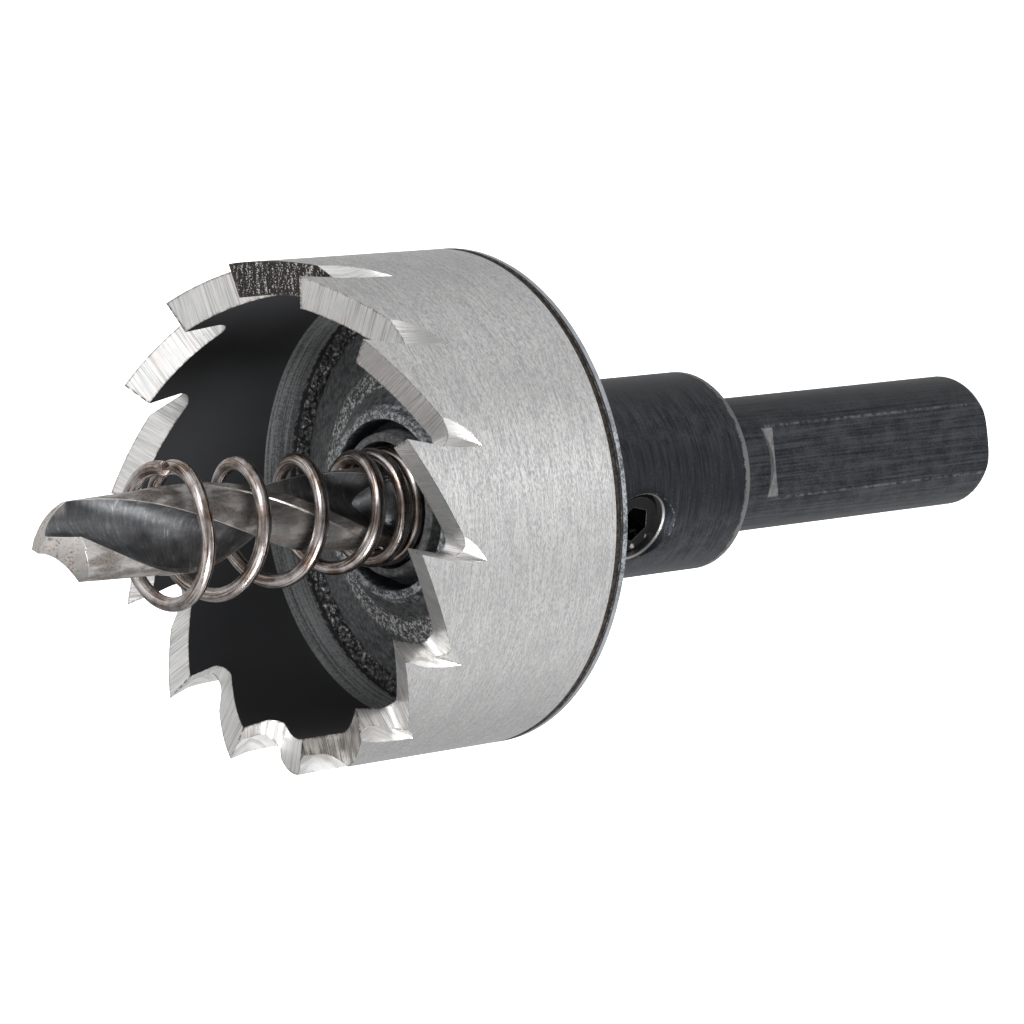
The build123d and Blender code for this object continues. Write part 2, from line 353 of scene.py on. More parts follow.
@dataclass(frozen=True)
class WallFinish:
    """Ring wall: brushed bright outside, blackened inside."""

    bright: Colour = (0.66, 0.66, 0.655)
    dull: Colour = (0.38, 0.38, 0.38)
    black: Colour = (0.012, 0.0125, 0.0145)
    band: Colour = (0.34, 0.345, 0.35)
    band_dark: Colour = (0.1, 0.103, 0.107)
    middle_radius: float = 16.3
    ledge_top: float = 55.4
    ledge_foot: float = 53.4
    ragged_width: float = 1.1
    grain: Pattern = Pattern(stretch=(3.2, 3.2, 13.0), detail=4.0, rough=0.75)
    streak: Pattern = Pattern(stretch=(0.5, 0.5, 6.0), detail=2.0)
    cloud: Pattern = Pattern(stretch=(0.3, 0.3, 0.6))
    ragged: Pattern = Pattern(scale=2.2, detail=4.0, rough=0.7)
    rings: Pattern = Pattern(stretch=(0.12, 0.12, 8.0), detail=2.0)
    grit: Pattern = Pattern(scale=5.0, detail=4.0, rough=0.8)
    soot: Pattern = Pattern(scale=9.0, detail=4.0)

    def build(self) -> bpy.types.Material:
        """Makes the material.

        Returns:
            The material.
        """
        s = Surface("ring_wall")
        outside = s.step(s.radius, self.middle_radius - 0.1, self.middle_radius + 0.1)
        grain = s.pattern(self.grain)
        streak = s.pattern(self.streak)
        cloud = s.pattern(self.cloud)
        tone = s.step(grain * 0.75 + streak * 0.25, 0.38, 0.6)
        metal = s.mix(tone, self.dull, self.bright)
        metal = s.mix(s.step(cloud, 0.35, 0.75) * 0.25, metal, self.dull)
        ragged = (s.pattern(self.ragged) - 0.5) * self.ragged_width
        above_foot = s.step(s.z + ragged, self.ledge_foot - 0.15, self.ledge_foot)
        on_ledge = s.step(s.z, self.ledge_top + 0.08, self.ledge_top - 0.02) * above_foot
        rings = s.pattern(self.rings)
        grit = s.pattern(self.grit)
        band = s.mix(s.step(rings * 0.5 + grit * 0.5, 0.38, 0.62), self.band_dark, self.band)
        inside = s.mix(on_ledge, self.black, band)
        height = s.lerp(outside, s.pattern(self.soot), grain)
        return s.finish(
            base_color=s.mix(outside, inside, metal),
            metallic=s.lerp(outside, on_ledge * 0.4, 1.0),
            roughness=s.lerp(outside, 0.8 - on_ledge * 0.36, 0.3 + 0.16 * (1.0 - tone)),
            normal=s.bump(height, 0.012 * MM, 0.5),
        )


@dataclass(frozen=True)
class GroundFinish:
    """Faces that the first wheel ground: the rake and the relief of each tooth."""

    light: Colour = (0.88, 0.875, 0.86)
    dark: Colour = (0.46, 0.455, 0.445)
    line: Colour = (0.14, 0.13, 0.12)
    brown: Colour = (0.16, 0.125, 0.095)
    burr: Colour = (0.085, 0.06, 0.04)
    pit: Colour = (0.035, 0.032, 0.03)
    pink: Colour = (0.62, 0.5, 0.5)
    blue: Colour = (0.5, 0.56, 0.62)
    # Painted shade for the teeth either side of the cream tooth.
    painted_shade_grey: Colour = (0.3, 0.295, 0.285)
    lean: float = math.radians(6.5)
    line_slope: float = 0.8
    line_scale: float = 2.4
    line_lean: float = 0.35
    rough_tooth: float = math.radians(21.3)
    brown_tooth: float = math.radians(172.2)
    cream_tooth: float = math.radians(-30.7)
    tooth_shift: float = 25.0 / 3.0
    glitter_scale: float = 15.0
    fine: Pattern = Pattern(stretch=(7.5, 0.2, 31.0), rough=0.7)
    broad: Pattern = Pattern(stretch=(1.6, 0.1, 17.0), detail=2.0)
    patch: Pattern = Pattern(stretch=(0.6, 0.6, 0.6))
    chatter: Pattern = Pattern(stretch=(0.6, 5.0, 3.0))
    scratch: Pattern = Pattern(stretch=(6.0, 1.2, 1.0), detail=4.0, rough=0.8)
    pits: Pattern = Pattern(scale=5.5, detail=5.0, rough=0.7)
    burr_spots: Pattern = Pattern(scale=3.2, detail=4.0, rough=0.7)

    def build(self) -> bpy.types.Material:
        """Makes the material.

        Returns:
            The material.
        """
        s = Surface("tooth_ground")
        tooth = s.attribute("tooth_clock")
        turn = tooth + self.lean
        cosine = s.math("COSINE", turn)
        sine = s.math("SINE", turn)
        across = s.x * cosine - s.y * sine
        along = s.x * sine + s.y * cosine
        slant = (across + s.z * self.line_slope) * self.line_scale + along * self.line_lean
        fine = s.pattern(self.fine, (slant, along, tooth))
        broad = s.pattern(self.broad, (slant, along, tooth))
        patch = s.pattern(self.patch, (across, along, s.z + tooth * self.tooth_shift))
        chatter = s.pattern(self.chatter, (slant, along, tooth))
        tone = s.step(fine * 0.72 + broad * 0.28, 0.36, 0.6)
        colour = s.mix(tone, self.dark, self.light)
        line = s.step(fine, 0.36, 0.31) * s.step(patch, 0.35, 0.55)
        colour = s.mix(line * 0.8, colour, self.line)
        colour = s.mix(s.step(patch, 0.5, 0.7) * 0.2, colour, self.pink)
        colour = s.mix(s.step(patch, 0.5, 0.3) * 0.25, colour, self.blue)
        pits = s.step(s.pattern(self.pits), 0.64, 0.69)
        colour = s.mix(pits * 0.75, colour, self.pit)
        stained = s.step(abs(tooth - self.brown_tooth), 0.3, 0.15) * s.step(fine + patch, 1.15, 0.85)
        colour = s.mix(stained * 0.85, colour, self.brown)
        # Painted shade: the teeth either side of the cream tooth are greyed so that they look less lit.
        shaded_beside_cream = s.band(abs(tooth - self.cream_tooth), 0.3, 0.6, 0.05)
        colour = s.mix(shaded_beside_cream * 0.5, colour, self.painted_shade_grey)
        rough_here = s.step(abs(tooth - self.rough_tooth), 0.2, 0.1)
        scratch = s.pattern(self.scratch, (slant, along, tooth))
        glitter = s.step(s.cells(self.glitter_scale) * 0.4 + scratch * 0.8, 0.66, 0.76)
        colour = s.mix(rough_here * (1.0 - glitter * 0.75), colour, self.pit)
        burr = s.edge(0.3 * MM, 0.015, 0.1) * s.step(s.pattern(self.burr_spots), 0.4, 0.56)
        colour = s.mix(burr * 0.85, colour, self.burr)
        height = fine * 0.6 + broad * 0.4 + chatter * 0.1 - pits * 0.5
        return s.finish(
            base_color=colour,
            metallic=1.0,
            roughness=0.3 + 0.22 * (1.0 - tone) + burr * 0.3,
            normal=s.bump(height, 0.02 * MM, 0.5),
        )


@dataclass(frozen=True)
class GashFinish:
    """Facets that the second wheel ground on the outer corner of each tooth."""

    light: Colour = (0.95, 0.95, 0.94)
    stripe: Colour = (0.66, 0.65, 0.635)
    rosy: Colour = (0.6, 0.53, 0.49)
    shade: Colour = (0.1, 0.09, 0.085)
    drift: float = math.radians(15.0)
    lines: Pattern = Pattern(stretch=(8.0, 0.3, 23.0), rough=0.7)
    broad: Pattern = Pattern(stretch=(1.7, 0.1, 11.0), detail=2.0)
    specks: Pattern = Pattern(scale=4.5, detail=4.0, rough=0.7)
    edge_spots: Pattern = Pattern(scale=3.0, detail=4.0, rough=0.7)

    def build(self) -> bpy.types.Material:
        """Makes the material.

        Returns:
            The material.
        """
        s = Surface("tooth_gash")
        tooth = s.attribute("tooth_clock")
        across = s.x * s.math("COSINE", tooth) - s.y * s.math("SINE", tooth) + s.z * math.tan(self.drift)
        lines = s.pattern(self.lines, (across, s.z, tooth))
        broad = s.pattern(self.broad, (across, s.z, tooth))
        tone = s.step(lines * 0.75 + broad * 0.25, 0.4, 0.57)
        colour = s.mix(tone, self.stripe, self.light)
        colour = s.mix(s.step(broad, 0.5, 0.75) * 0.4, colour, self.rosy)
        speck = s.step(s.pattern(self.specks), 0.64, 0.72)
        colour = s.mix(speck * 0.6, colour, self.shade)
        edge = s.edge(0.15 * MM, 0.02, 0.1) * s.step(s.pattern(self.edge_spots), 0.42, 0.58)
        colour = s.mix(edge * 0.5, colour, self.shade)
        return s.finish(
            base_color=colour,
            metallic=1.0,
            roughness=0.3 + 0.2 * (1.0 - tone),
            normal=s.bump(lines * 0.7 + broad * 0.4, 0.015 * MM, 0.5),
        )


@dataclass(frozen=True)
class OxideFinish:
    """Black oxide of the arbor, dull and caked with flux inside the cup."""

    black: Colour = (0.006, 0.0074, 0.0105)
    faded: Colour = (0.05, 0.0545, 0.061)
    # Bare steel, also the colour of the painted highlight at the screw hole's mouth.
    worn: Colour = (0.34, 0.335, 0.33)
    slag: Colour = (0.045, 0.047, 0.05)
    flux: Colour = (0.25, 0.255, 0.26)
    rim: Colour = (0.46, 0.49, 0.52)
    seam: Colour = (0.05, 0.045, 0.044)
    sparkle: Colour = (0.95, 0.95, 0.92)
    cup_floor: float = 52.2
    seat_radius: float = 5.25
    recess_radius: float = 5.95
    ridge_radius: float = 6.95
    sparkle_inner: float = 8.2
    sparkle_outer: float = 9.9
    flange_radius: float = 17.5
    flange_rear: float = 49.3
    rim_front: float = 49.82
    shank_top: float = 27.85
    boss_radius: float = 7.3
    neck: float = 23.6
    shank_radius: float = 5.0
    flat_clock: float = math.radians(88.0)
    flat_distance: float = 4.2
    screw_clock: float = math.radians(118.0)
    screw_height: float = 38.6
    hole_radius: float = 2.55
    screw_depth: float = 5.0
    far_away: float = 20.0
    # Clock angle of the side that gets painted shade.
    painted_shade_clock: float = math.radians(92.0)
    shaded_clock: float = math.radians(-17.189)
    ragged_width: float = 1.1
    mottle: Pattern = Pattern(scale=0.9, detail=5.0, rough=0.6)
    fine: Pattern = Pattern(scale=7.0, detail=4.0, rough=0.6)
    turned: Pattern = Pattern(stretch=(0.3, 0.3, 7.0))
    drawn: Pattern = Pattern(stretch=(6.0, 6.0, 0.12))
    flux_lumps: Pattern = Pattern(scale=2.6, detail=6.0, rough=0.7)
    glitter: Pattern = Pattern(scale=3.6, rough=0.8)
    ragged: Pattern = Pattern(scale=1.8, detail=5.0, rough=0.7)
    around: Pattern = Pattern(stretch=(1.1, 1.1, 2.6), detail=5.0, rough=0.7)
    chips: Pattern = Pattern(scale=1.3, detail=6.0, rough=0.75)

    def build(self) -> bpy.types.Material:
        """Makes the material.

        Returns:
            The material.
        """
        s = Surface("black_oxide")
        inside = s.step(s.z, self.cup_floor - 0.1, self.cup_floor + 0.1)
        mottle = s.pattern(self.mottle)
        fine = s.pattern(self.fine)
        shank = s.step(s.z, self.shank_top + 0.05, self.shank_top - 0.05)
        lines = s.lerp(shank, s.pattern(self.turned), s.pattern(self.drawn))
        skin = s.mix(s.step(mottle * 0.3 + lines * 0.4 + fine * 0.3, 0.36, 0.64), self.black, self.faded)
        skin = s.mix(s.step(abs(s.clock - self.shaded_clock), 1.3, 0.5) * 0.75, skin, self.black)
        lumps = s.pattern(self.flux_lumps)
        floor, sparkle_ring = self.cup(s, lumps, fine)
        colour = s.mix(inside, skin, floor)
        outside = s.step(s.radius, self.flange_radius - 0.7, self.flange_radius - 0.4)
        on_rim = s.band(s.z, self.flange_rear - 0.1, self.rim_front, 0.04) * outside
        on_seam = s.step(s.z, self.rim_front, self.rim_front + 0.06) * outside
        colour = s.mix(on_rim, colour, s.mix(s.step(mottle, 0.3, 0.7) * 0.5, self.rim, self.flux))
        colour = s.mix(on_seam, colour, self.seam)
        from_hole = self.from_screw(s)
        # Painted shade: a soft dark ring round the screw hole's mouth and inside it, which also makes the
        # mouth look wider.
        painted_shade_round_hole = s.step(from_hole, self.hole_radius + 0.75, self.hole_radius + 0.15)
        colour = s.mix(painted_shade_round_hole * 0.8, colour, self.black)
        patchy = s.step(fine * 0.6 + mottle * 0.4, 0.44, 0.54)
        # Painted shade: the side near clock 92° is darkened in mottled patches as a dark reflection, outside
        # the cup and off the shank.
        painted_shade_side = s.step(abs(s.clock - self.painted_shade_clock), 0.5, 0.2) * patchy
        colour = s.mix(painted_shade_side * (1.0 - inside) * (1.0 - shank) * 0.7, colour, self.black)
        # Painted highlight: a thin bright ring on the screw hole's mouth, in the bare steel colour. bare
        # then holds the real wear and this painted highlight.
        mouth_highlight = s.band(from_hole, self.hole_radius - 0.12, self.hole_radius + 0.12, 0.03)
        off_hole = s.step(from_hole, self.hole_radius - 0.05, self.hole_radius + 0.45)
        bare = s.largest(self.bare(s, inside) * off_hole, mouth_highlight * 0.9)
        colour = s.mix(bare, colour, self.worn)
        height = s.lerp(inside, fine * 0.5 + lines * 0.5, lumps)
        bright = on_rim + bare + sparkle_ring
        return s.finish(
            base_color=colour,
            metallic=s.math("MINIMUM", 0.5 + bright * 0.5 - inside * 0.3, 1.0),
            roughness=0.34 + mottle * 0.14 + inside * 0.1 + on_seam * 0.3,
            specular_ior_level=0.17,
            normal=s.bump(height, 0.035 * MM, 0.6, s.rounded(0.1 * MM)),
        )

    def cup(self, s: Surface, lumps: Value, fine: Value) -> tuple[Value, Value]:
        """Colours the floor of the cup.

        Args:
            s: The tree.
            lumps: The coarse noise of the flux.
            fine: The fine noise.

        Returns:
            The colour, and 1 on the glints of the sparkling ring.
        """
        around = s.pattern(self.around, (s.x, s.y, s.radius))
        glitter = s.step(s.pattern(self.glitter), 0.5, 0.55) * s.step(around, 0.4, 0.5)
        sparkle_ring = s.band(s.radius, self.sparkle_inner, self.sparkle_outer, 0.25) * glitter
        ridge = s.band(s.radius, self.recess_radius, self.ridge_radius, 0.1)
        ridge = ridge * s.step(lumps * 0.5 + glitter * 0.2 + fine * 0.4, 0.45, 0.65)
        recess = s.band(s.radius, self.seat_radius, self.recess_radius, 0.06)
        floor = s.mix(s.step(lumps * 0.6 + around * 0.4, 0.34, 0.7), self.slag, self.flux)
        floor = s.mix(ridge, floor, self.rim)
        floor = s.mix(sparkle_ring, floor, self.sparkle)
        return s.mix(recess * 0.85, floor, self.black), sparkle_ring

    def bare(self, s: Surface, inside: Value) -> Operand:
        """Finds where the oxide has worn off.

        Args:
            s: The tree.
            inside: 1 inside the cup.

        Returns:
            How bare the steel is.
        """
        ragged = s.pattern(self.ragged)
        height = s.z + (ragged - 0.5) * self.ragged_width
        strip = s.step(height, self.shank_top + 0.98, self.shank_top + 0.8)
        strip = strip * s.step(s.radius, self.boss_radius - 0.8, self.boss_radius - 0.6)
        corner = s.band(s.radius, self.shank_radius - 0.07, self.shank_radius + 0.05, 0.02)
        corner = corner * self.on_flat(s) * s.step(ragged, 0.4, 0.65)
        worn = s.edge(0.2 * MM, 0.015, 0.12) * s.step(ragged, 0.47, 0.62) * 0.6 * (1.0 - inside * 0.6)
        below_round = s.step(s.radius, self.shank_radius - 0.03, self.shank_radius - 0.15)
        ramp = s.band(s.z, self.neck - 0.8, self.neck + 0.5, 0.05) * below_round
        ramp = ramp * (0.3 + s.step(ragged, 0.35, 0.65) * 0.25)
        chips = s.step(s.pattern(self.chips), 0.74, 0.77) * 0.5
        return s.largest(strip * 0.4, corner * 0.22, worn, ramp, chips)

    def from_screw(self, s: Surface) -> Value:
        """Distance from the set screw's axis.

        Args:
            s: The tree.

        Returns:
            The distance, with far_away added on the other side.
        """
        sine = math.sin(self.screw_clock)
        cosine = math.cos(self.screw_clock)
        level = s.z - self.screw_height
        side = s.x * cosine - s.y * sine
        outwards = s.x * sine + s.y * cosine
        behind = s.step(outwards, self.screw_depth + 0.5, self.screw_depth) * self.far_away
        return s.math("SQRT", level * level + side * side) + behind

    def on_flat(self, s: Surface) -> Value:
        """Finds the three flats of the shank and their long edges.

        Args:
            s: The tree.

        Returns:
            1 on them and 0 elsewhere.
        """
        result: Operand = 0.0
        for turn in range(3):
            clock = self.flat_clock + turn * 2 * math.pi / 3
            distance = s.x * math.sin(clock) + s.y * math.cos(clock)
            on_this = s.step(distance, self.flat_distance - 0.06, self.flat_distance - 0.01)
            result = s.largest(on_this, result)
        return result * s.step(s.z, self.neck, self.neck - 0.2)


@dataclass(frozen=True)
class DrillFinish:
    """Ground twist drill: dark flutes, grey-brown lands with rust specks and pale point flanks."""

    flute: Colour = (0.07, 0.073, 0.078)
    flute_light: Colour = (0.42, 0.425, 0.435)
    land: Colour = (0.52, 0.51, 0.495)
    brown: Colour = (0.25, 0.235, 0.22)
    rust: Colour = (0.13, 0.055, 0.03)
    flank: Colour = (0.68, 0.63, 0.59)
    land_radius: float = 2.66
    flank_rear: float = 82.45
    rust_spots: Pattern = Pattern(scale=4.5, detail=5.0, rough=0.8)
    scratch: Pattern = Pattern(stretch=(0.9, 0.9, 4.5), detail=4.0, rough=0.7)
    length: Pattern = Pattern(stretch=(4.0, 4.0, 0.35))
    patch: Pattern = Pattern(stretch=(1.0, 1.0, 0.45), detail=4.0, rough=0.6)

    def build(self) -> bpy.types.Material:
        """Makes the material.

        Returns:
            The material.
        """
        s = Surface("drill_steel")
        outer = s.step(s.radius, self.land_radius - 0.03, self.land_radius + 0.03)
        scratch = s.pattern(self.scratch)
        length = s.pattern(self.length)
        patch = s.pattern(self.patch)
        marks = s.step(scratch, 0.56, 0.66) * s.step(patch, 0.42, 0.6)
        tone = 0.1 + s.step(patch * 0.5 + scratch * 0.5, 0.3, 0.75) * 0.45 + marks * 0.4
        flute = s.mix(tone, self.flute, self.flute_light)
        land = s.mix(s.step(patch * 0.8 + length * 0.2, 0.4, 0.58), self.land, self.brown)
        specks = s.step(s.pattern(self.rust_spots) * 0.75 + patch * 0.25, 0.53, 0.59)
        land = s.mix(specks * 0.6, land, self.rust)
        forwards = s.separate(s.normal)[2]
        facing = s.step(forwards, 0.25, 0.35) * s.step(s.z, self.flank_rear, self.flank_rear + 0.4)
        flank = s.mix(s.step(scratch, 0.35, 0.7), self.land, self.flank)
        flank = s.mix(specks * 0.75, flank, self.rust)
        colour = s.mix(outer, flute, land)
        colour = s.mix(facing, colour, flank)
        edge = s.edge(0.1 * MM, 0.02, 0.15)
        colour = s.mix(edge * 0.6, colour, self.flank)
        return s.finish(
            base_color=colour,
            metallic=1.0,
            roughness=0.3 + patch * 0.25 + specks * 0.2,
            normal=s.bump(scratch * 0.5 + length * 0.3 + specks * 0.3, 0.02 * MM, 0.5, s.rounded(0.06 * MM)),
        )


@dataclass(frozen=True)
class WireFinish:
    """Drawn spring wire: brown and pale streaks along it, with dark marks."""

    brown: Colour = (0.16, 0.105, 0.075)
    pale: Colour = (0.62, 0.585, 0.575)
    dark: Colour = (0.05, 0.04, 0.035)
    patch: Pattern = Pattern(scale=0.8, detail=4.0, rough=0.6)
    lines: Pattern = Pattern(stretch=(3.0, 3.0, 250.0), scale=1.6, detail=4.0, rough=0.6)
    marks: Pattern = Pattern(scale=5.0, detail=4.0, rough=0.7)

    def build(self) -> bpy.types.Material:
        """Makes the material.

        Returns:
            The material.
        """
        s = Surface("spring_wire")
        along = s.attribute("along")
        around = s.attribute("around")
        turn = around * 2 * math.pi
        lines = s.pattern(self.lines, (s.math("COSINE", turn), s.math("SINE", turn), along))
        patch = s.pattern(self.patch)
        colour = s.mix(s.step(lines * 0.6 + patch * 0.4, 0.4, 0.6), self.brown, self.pale)
        marks = s.step(s.pattern(self.marks), 0.64, 0.7)
        colour = s.mix(marks * 0.7, colour, self.dark)
        return s.finish(
            base_color=colour,
            metallic=1.0,
            roughness=0.2 + lines * 0.16,
            normal=s.bump(lines, 0.012 * MM, 0.6),
        )


@dataclass(frozen=True)
class BrazeFinish:
    """Filler metal: glittery black slag inside, a brown line outside."""

    black: Colour = (0.012, 0.012, 0.013)
    grey: Colour = (0.2, 0.2, 0.205)
    glint: Colour = (0.8, 0.79, 0.77)
    line: Colour = (0.075, 0.06, 0.05)
    middle_radius: float = 16.1
    glint_scale: float = 5.0
    lumps: Pattern = Pattern(scale=3.2, detail=6.0, rough=0.7)

    def build(self) -> bpy.types.Material:
        """Makes the material.

        Returns:
            The material.
        """
        s = Surface("braze")
        outside = s.step(s.radius, self.middle_radius - 0.1, self.middle_radius + 0.1)
        lumps = s.pattern(self.lumps)
        glints = s.step(s.cells(self.glint_scale), 0.6, 0.78)
        slag = s.mix(s.step(lumps, 0.42, 0.68), self.black, self.grey)
        slag = s.mix(glints * s.step(lumps, 0.48, 0.62) * 0.8, slag, self.glint)
        line = s.mix(s.step(lumps, 0.35, 0.65), self.line, self.black)
        return s.finish(
            base_color=s.mix(outside, slag, line),
            metallic=0.7,
            roughness=0.34 + lumps * 0.3,
            normal=s.bump(lumps, 0.08 * MM, 0.8),
        )


@dataclass(frozen=True)
class ScrewFinish:
    """Black oxide of the set screw, with a bright rubbed edge round its socket and a painted highlight on
    one side.
    """

    black: Colour = (0.006, 0.0065, 0.0075)
    # Rubbed steel, also the colour of the painted highlight.
    worn: Colour = (0.55, 0.54, 0.53)
    # Where the painted highlight lies.
    highlight_x: float = 0.47
    highlight_y: float = 0.88
    highlight_start: float = -0.4
    highlight_end: float = -1.2
    fine: Pattern = Pattern(scale=5.0, detail=4.0, rough=0.6)
    highlight_smear: Pattern = Pattern(scale=1.3)

    def build(self) -> bpy.types.Material:
        """Makes the material.

        Returns:
            The material.
        """
        s = Surface("screw_oxide")
        fine = s.pattern(self.fine)
        # Noise of the painted highlight.
        highlight_smear = s.step(s.pattern(self.highlight_smear), 0.55, 0.7)
        edge = s.edge(0.14 * MM, 0.02, 0.12)
        # Painted highlight: a bright smear on one side of the screw, in the worn colour, with the rubbed
        # edge.
        low = s.step(s.x * self.highlight_x + s.y * self.highlight_y, self.highlight_start, self.highlight_end)
        colour = s.mix(s.math("MINIMUM", edge * 0.12 + highlight_smear * low * 0.8, 1.0), self.black, self.worn)
        return s.finish(
            base_color=colour,
            metallic=0.8,
            roughness=0.3 + fine * 0.2,
            normal=s.bump(fine, 0.02 * MM, 0.5, s.rounded(0.08 * MM)),
        )


@dataclass(frozen=True)
class FloorFinish:
    """Pale studio floor."""

    grey: Colour = (0.9, 0.9, 0.9)
    white: Colour = (1.0, 1.0, 1.0)

    def build(self) -> bpy.types.Material:
        """Makes the material."""
        colours = {"base_color": (*self.grey, 1.0), "emission_color": (*self.white, 1.0)}
        return Surface("floor_pale").finish(**colours, emission_strength=1.0)


def clock_vector(clock: float, distance: float) -> Vector:
    """The point at a clock angle in radians and a distance from the axis, at height 0."""
    return Vector((math.sin(clock) * distance, math.cos(clock) * distance, 0.0))


def link(name: str, data: bpy.types.ID) -> bpy.types.Object:
    """Puts a mesh, a camera or a light into the scene.

    Args:
        name: The object's name.
        data: What it holds.

    Returns:
        The object, at the origin.
    """
    piece = bpy.data.objects.new(name, data)
    bpy.context.scene.collection.objects.link(piece)
    return piece


def lathe(name: str, corners: Sequence[Corner], segments: int) -> bpy.types.Mesh:
    """Turned closed ring.

    Args:
        name: The mesh's name.
        corners: Closed outline as (radius, height) pairs.
        segments: Steps of a full turn.

    Returns:
        The mesh, with its faces outwards.
    """
    shape = bmesh.new()
    rows = []
    for segment in range(segments):
        clock = 2 * math.pi * segment / segments
        rows.append([shape.verts.new(clock_vector(clock, r) + Vector((0, 0, z))) for r, z in corners])
    bridge(shape, [*rows, rows[0]])
    return close_shape(name, shape)


def bridge(shape: bmesh.types.BMesh, rows: Sequence[Sequence[bmesh.types.BMVert]]) -> None:
    """Joins each closed row of points to the next with faces of four corners."""
    for here, there in zip(rows, rows[1:]):
        for place in range(len(here)):
            after = (place + 1) % len(here)
            shape.faces.new((here[place], here[after], there[after], there[place]))


def close_shape(name: str, shape: bmesh.types.BMesh) -> bpy.types.Mesh:
    """Turns a closed shape's faces outwards and makes its mesh.

    Args:
        name: The mesh's name.
        shape: The shape, which is freed.

    Returns:
        The mesh.
    """
    bmesh.ops.recalc_face_normals(shape, faces=shape.faces)
    mesh = bpy.data.meshes.new(name)
    shape.to_mesh(mesh)
    shape.free()
    return mesh


def loft(name: str, rings: Sequence[Sequence[Vector]]) -> bpy.types.Mesh:
    """Closed solid through outlines that have as many points each.

    Args:
        name: The mesh's name.
        rings: The outlines in order.

    Returns:
        The mesh, with a flat cap on each end.
    """
    shape = bmesh.new()
    rows = [[shape.verts.new(point) for point in ring] for ring in rings]
    bridge(shape, rows)
    shape.faces.new(rows[0])
    shape.faces.new(tuple(reversed(rows[-1])))
    return close_shape(name, shape)


def shade(mesh: bpy.types.Mesh, sharp_angle: float) -> None:
    """Smooth shading with edges kept sharp above this angle in degrees."""
    mesh.shade_smooth()
    mesh.set_sharp_from_angle(angle=math.radians(sharp_angle))


def settle(piece: bpy.types.Object, node: str) -> None:
    """Declares a finished piece.

    Args:
        piece: The piece.
        node: The CAD node that it stands for.
    """
    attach(piece, BODY)
    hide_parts(node)
    log.info("%s: %d faces", piece.name, len(piece.data.polygons))


def applied(piece: bpy.types.Object) -> bpy.types.Object:
    """Makes a piece's evaluated shape its plain mesh.

    Args:
        piece: The piece, whose modifiers are removed.

    Returns:
        The piece.
    """
    graph = bpy.context.evaluated_depsgraph_get()
    mesh = bpy.data.meshes.new_from_object(piece.evaluated_get(graph))
    piece.modifiers.clear()
    piece.data = mesh
    return piece


def refine_turned(shape: bmesh.types.BMesh, turned_from: float) -> None:
    """Divides the edges of the turned part of a shape, with the new points on the turned surface.

    Args:
        shape: The shape, which is changed.
        turned_from: Height above which everything is turned about the axis.
    """
    for _ in range(REFINE_PASSES):
        edges = [edge for edge in shape.edges if min(vertex.co.z for vertex in edge.verts) > turned_from]
        places = {}
        for edge in edges:
            ends = [vertex.co for vertex in edge.verts]
            radii = [math.hypot(end.x, end.y) for end in ends]
            middle = (ends[0] + ends[1]) / 2
            length = math.hypot(middle.x, middle.y)
            if length > NEAR_AXIS and abs(ends[0].z - ends[1].z) < TALL_EDGE:
                scale = sum(radii) / 2 / length
                places[middle.freeze()] = Vector((middle.x * scale, middle.y * scale, middle.z))
        made = bmesh.ops.subdivide_edges(shape, edges=edges, cuts=1, use_grid_fill=False)
        for item in made["geom_inner"]:
            if isinstance(item, bmesh.types.BMVert):
                key = item.co.copy().freeze()
                item.co = places.get(key, item.co)
    bmesh.ops.triangulate(shape, faces=[face for face in shape.faces if len(face.verts) > 4])


def smooth_copy(
    node: str, name: str, material: bpy.types.Material, sharp_angle: float, turned_from: float
) -> bpy.types.Object:
    """A merged copy of a CAD node with smooth curved faces.

    Args:
        node: The CAD node.
        name: The copy's name.
        material: Its finish.
        sharp_angle: Edges above this angle in degrees stay sharp.
        turned_from: Height above which the node is turned.

    Returns:
        The copy.
    """
    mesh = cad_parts[node].data.copy()
    if "custom_normal" in mesh.attributes:
        mesh.attributes.remove(mesh.attributes["custom_normal"])
    shape = bmesh.new()
    shape.from_mesh(mesh)
    bmesh.ops.remove_doubles(shape, verts=shape.verts, dist=SAME_PLACE)
    refine_turned(shape, turned_from)
    shape.to_mesh(mesh)
    shape.free()
    mesh.name = name
    mesh.materials.clear()
    mesh.materials.append(material)
    shade(mesh, sharp_angle)
    return link(name, mesh)


